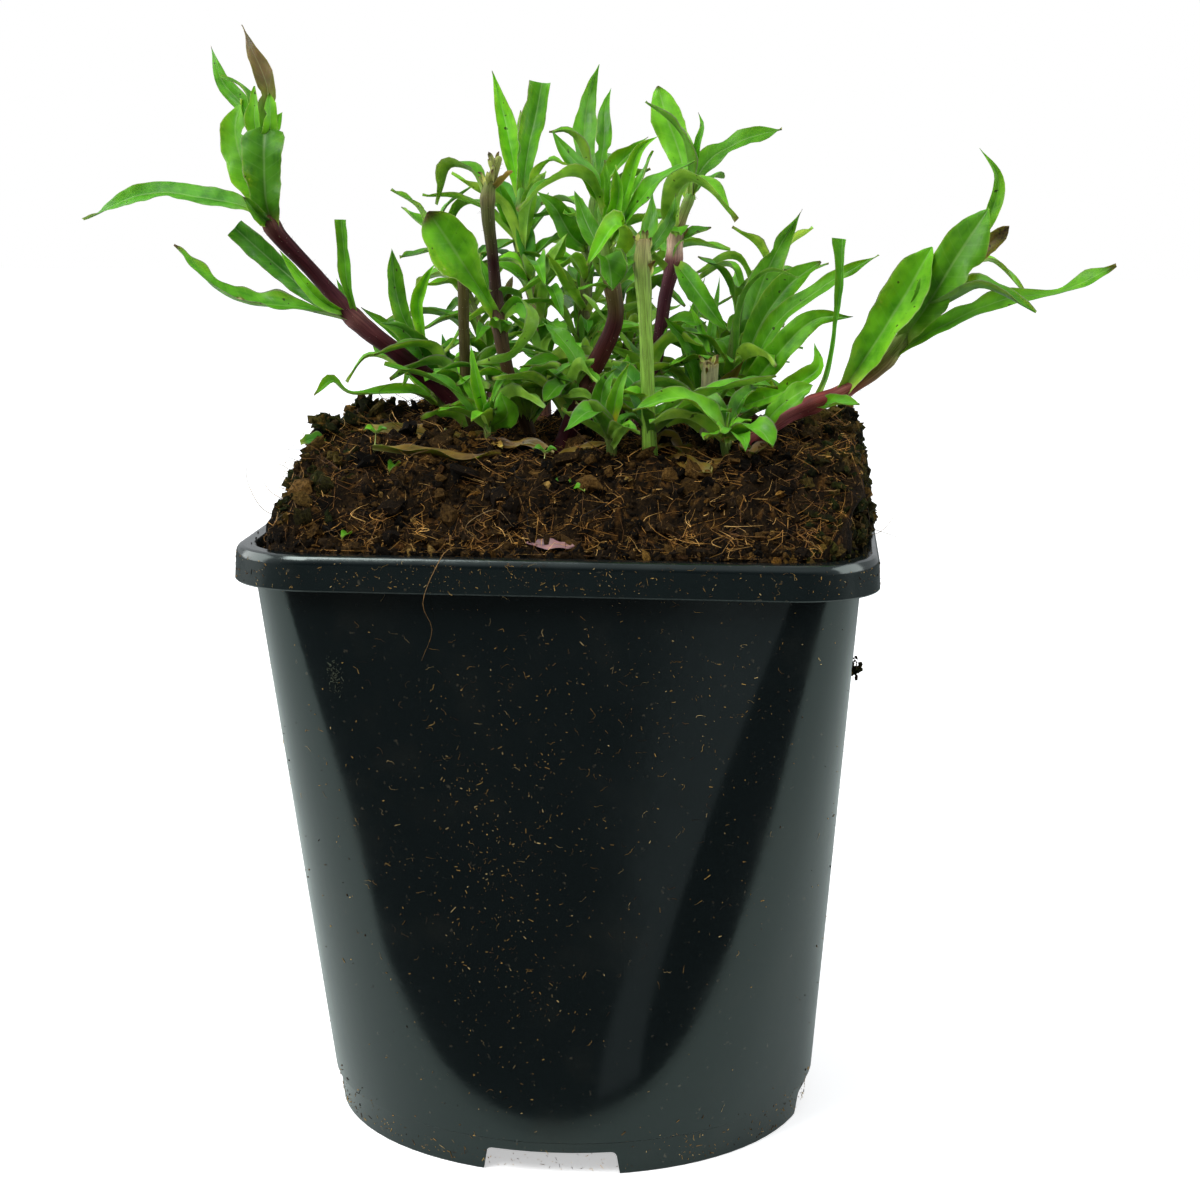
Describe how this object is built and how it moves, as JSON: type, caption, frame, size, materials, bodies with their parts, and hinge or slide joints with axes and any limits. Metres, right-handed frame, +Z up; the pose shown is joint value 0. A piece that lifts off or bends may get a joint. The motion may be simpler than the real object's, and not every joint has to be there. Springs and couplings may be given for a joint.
{
  "type": "potted ragged robin",
  "caption": "Young ragged robin with leafy maroon-stemmed shoots in a mound of peat soil, in a thin black plastic pot, square at the rim and round at the foot.",
  "frame": {"origin": "on the pot's axis, on the surface that the pot stands on", "axes": "+Z up, the way the plant grows; -Y towards the front flat of the pot; +X to the right of the front"},
  "size_m": [0.1922, 0.1106, 0.2005],
  "materials": {
    "pot_plastic": "semi-gloss blue-black moulded plastic",
    "peat_soil": "matt dark brown peat with straw fibres",
    "leafy_shoot": "satin green leaves on maroon stems",
    "cut_stub": "matt pale green cut stem",
    "dead_leaf": "matt dry straw leaf"
  },
  "bodies": {
    "root": {"pot": "pot_plastic", "soil": "peat_soil", "fallen_leaf": "dead_leaf", "shoot_far_left": "leafy_shoot", "shoot_left_low": "leafy_shoot", "shoot_dry_top": "leafy_shoot", "shoot_centre": "leafy_shoot", "shoot_centre_right": "leafy_shoot", "tuft_right_low": "leafy_shoot", "shoot_right": "leafy_shoot", "shoot_far_right": "leafy_shoot", "shoot_back_left": "leafy_shoot", "shoot_back": "leafy_shoot", "tuft_front_right": "leafy_shoot", "tuft_front_left": "leafy_shoot", "tuft_middle": "leafy_shoot", "shoot_rear_left": "leafy_shoot", "shoot_rear_middle": "leafy_shoot", "shoot_rear_right": "leafy_shoot", "stub_left": "cut_stub", "stub_centre": "cut_stub", "stub_right": "cut_stub"}
  },
  "joints": []
}
